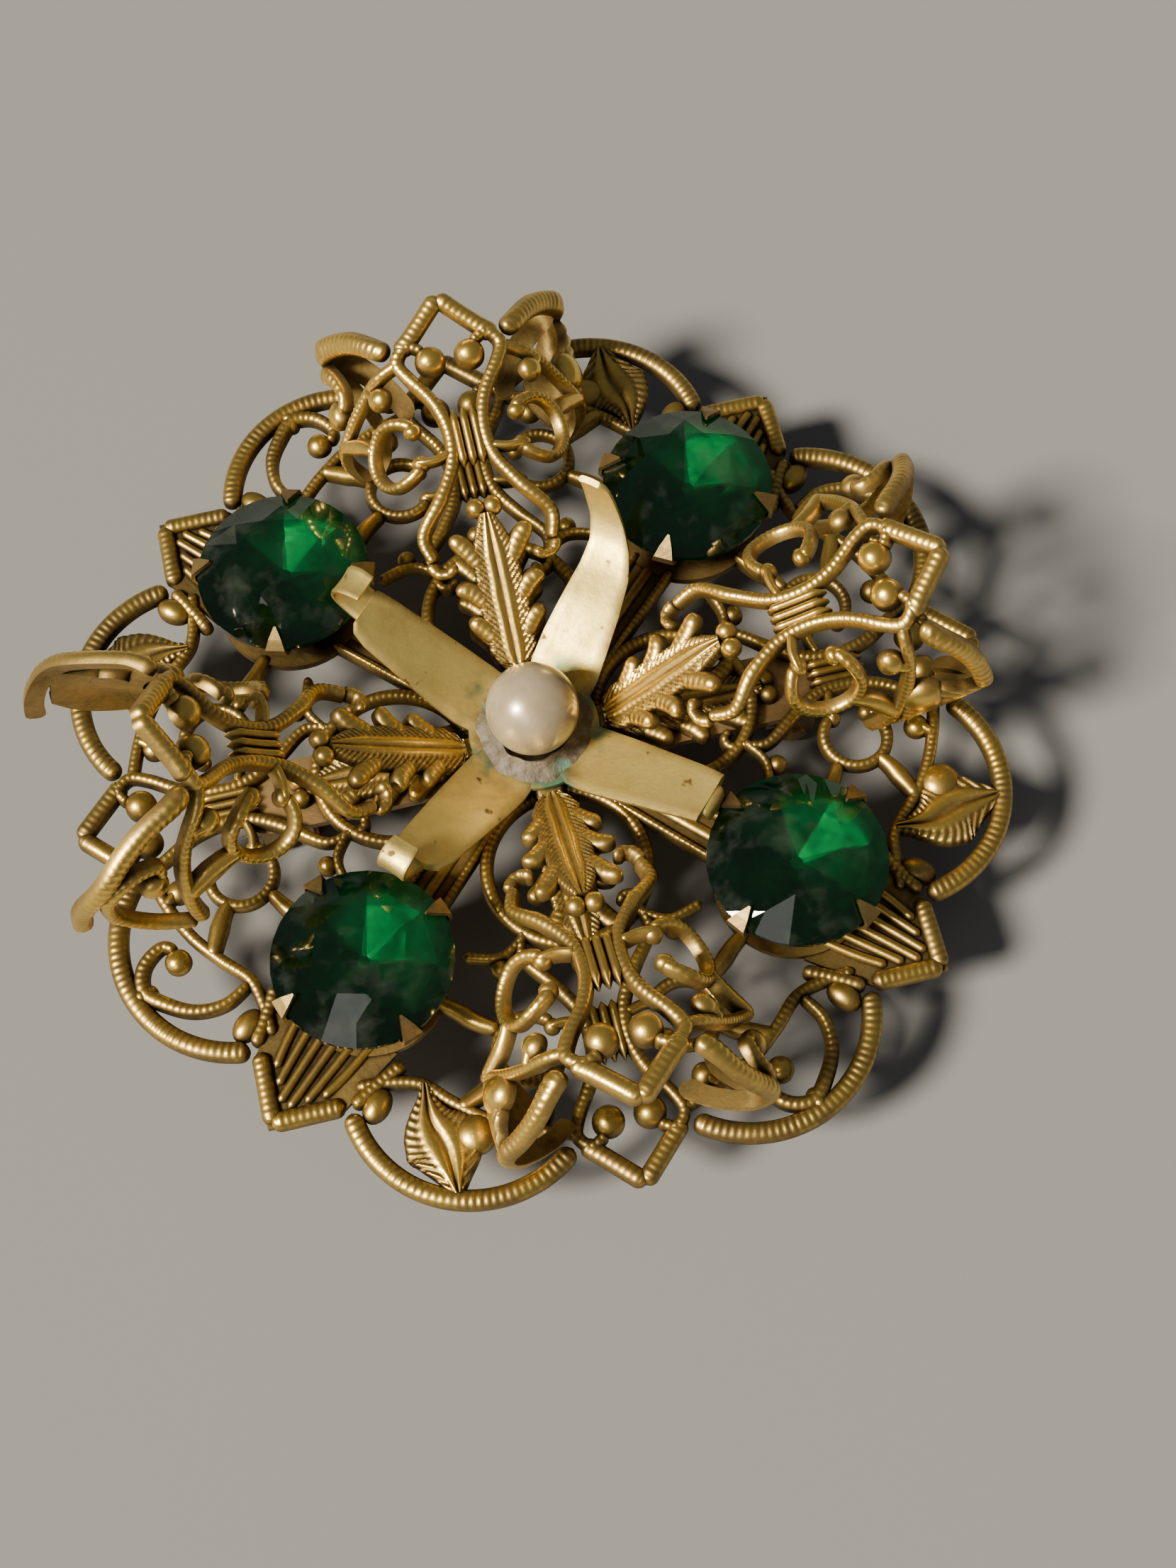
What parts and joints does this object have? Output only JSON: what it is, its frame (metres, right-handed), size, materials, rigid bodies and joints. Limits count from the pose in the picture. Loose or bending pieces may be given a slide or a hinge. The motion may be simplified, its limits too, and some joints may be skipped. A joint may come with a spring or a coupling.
{
  "type": "brooch",
  "caption": "Round filigree rosette brooch with raised filigree petals, pronged round green stones, a pearl on a plain claw, and a bar pin with a rollover catch.",
  "frame": {"origin": "bottom centre of the brooch: the point of the table plane under the hub, with the brooch face up on its closed pin and catch", "axes": "+Z out of the brooch's front, +X to the right along the bar pin towards its hinge, +Y up the brooch"},
  "size_m": [0.0588, 0.0588, 0.0244],
  "materials": {
    "gilt_filigree": "aged gilt, dark in the grooves",
    "gilt_petal": "aged gilt, dark in the grooves",
    "plain_brass": "plain sheet, satin, brown spots",
    "gilt_cup": "aged gilt",
    "pearl": "pearl coating, soft gloss",
    "rivet_brass": "dull",
    "cup_brass": "dull, toned",
    "green_glass": "faceted, polished, coated back",
    "back_brass": "dull, toned",
    "pin_steel": "drawn wire, ground point",
    "catch_brass": "satin"
  },
  "bodies": {
    "brooch": {"base_filigree": "gilt_filigree", "petal_top": "gilt_petal", "petal_right": "gilt_petal", "petal_bottom": "gilt_petal", "petal_left": "gilt_petal", "claw": "plain_brass", "pearl_cup": "gilt_cup", "pearl": "pearl", "hub_rivet": "rivet_brass", "setting_ne": "cup_brass", "setting_nw": "cup_brass", "setting_sw": "cup_brass", "setting_se": "cup_brass", "stone_ne": "green_glass", "stone_nw": "green_glass", "stone_sw": "green_glass", "stone_se": "green_glass", "setting_rivets": "rivet_brass", "pin_bar": "back_brass", "hinge_bracket": "back_brass", "hinge_pin": "rivet_brass", "catch_body": "back_brass"},
    "pin_stem": {"pin_stem": "pin_steel"},
    "catch_rotor": {"catch_rotor": "catch_brass"}
  },
  "joints": [
    {"name": "pin_hinge", "type": "hinge", "parent": "brooch", "child": "pin_stem", "pos_m": [0.017, 0, 0.0012], "axis": [0, -1, 0], "range_deg": [0, 80]},
    {"name": "catch_turn", "type": "hinge", "parent": "brooch", "child": "catch_rotor", "pos_m": [-0.0165, 0, 0.0012], "axis": [-1, 0, 0], "range_deg": [0, 85]}
  ]
}
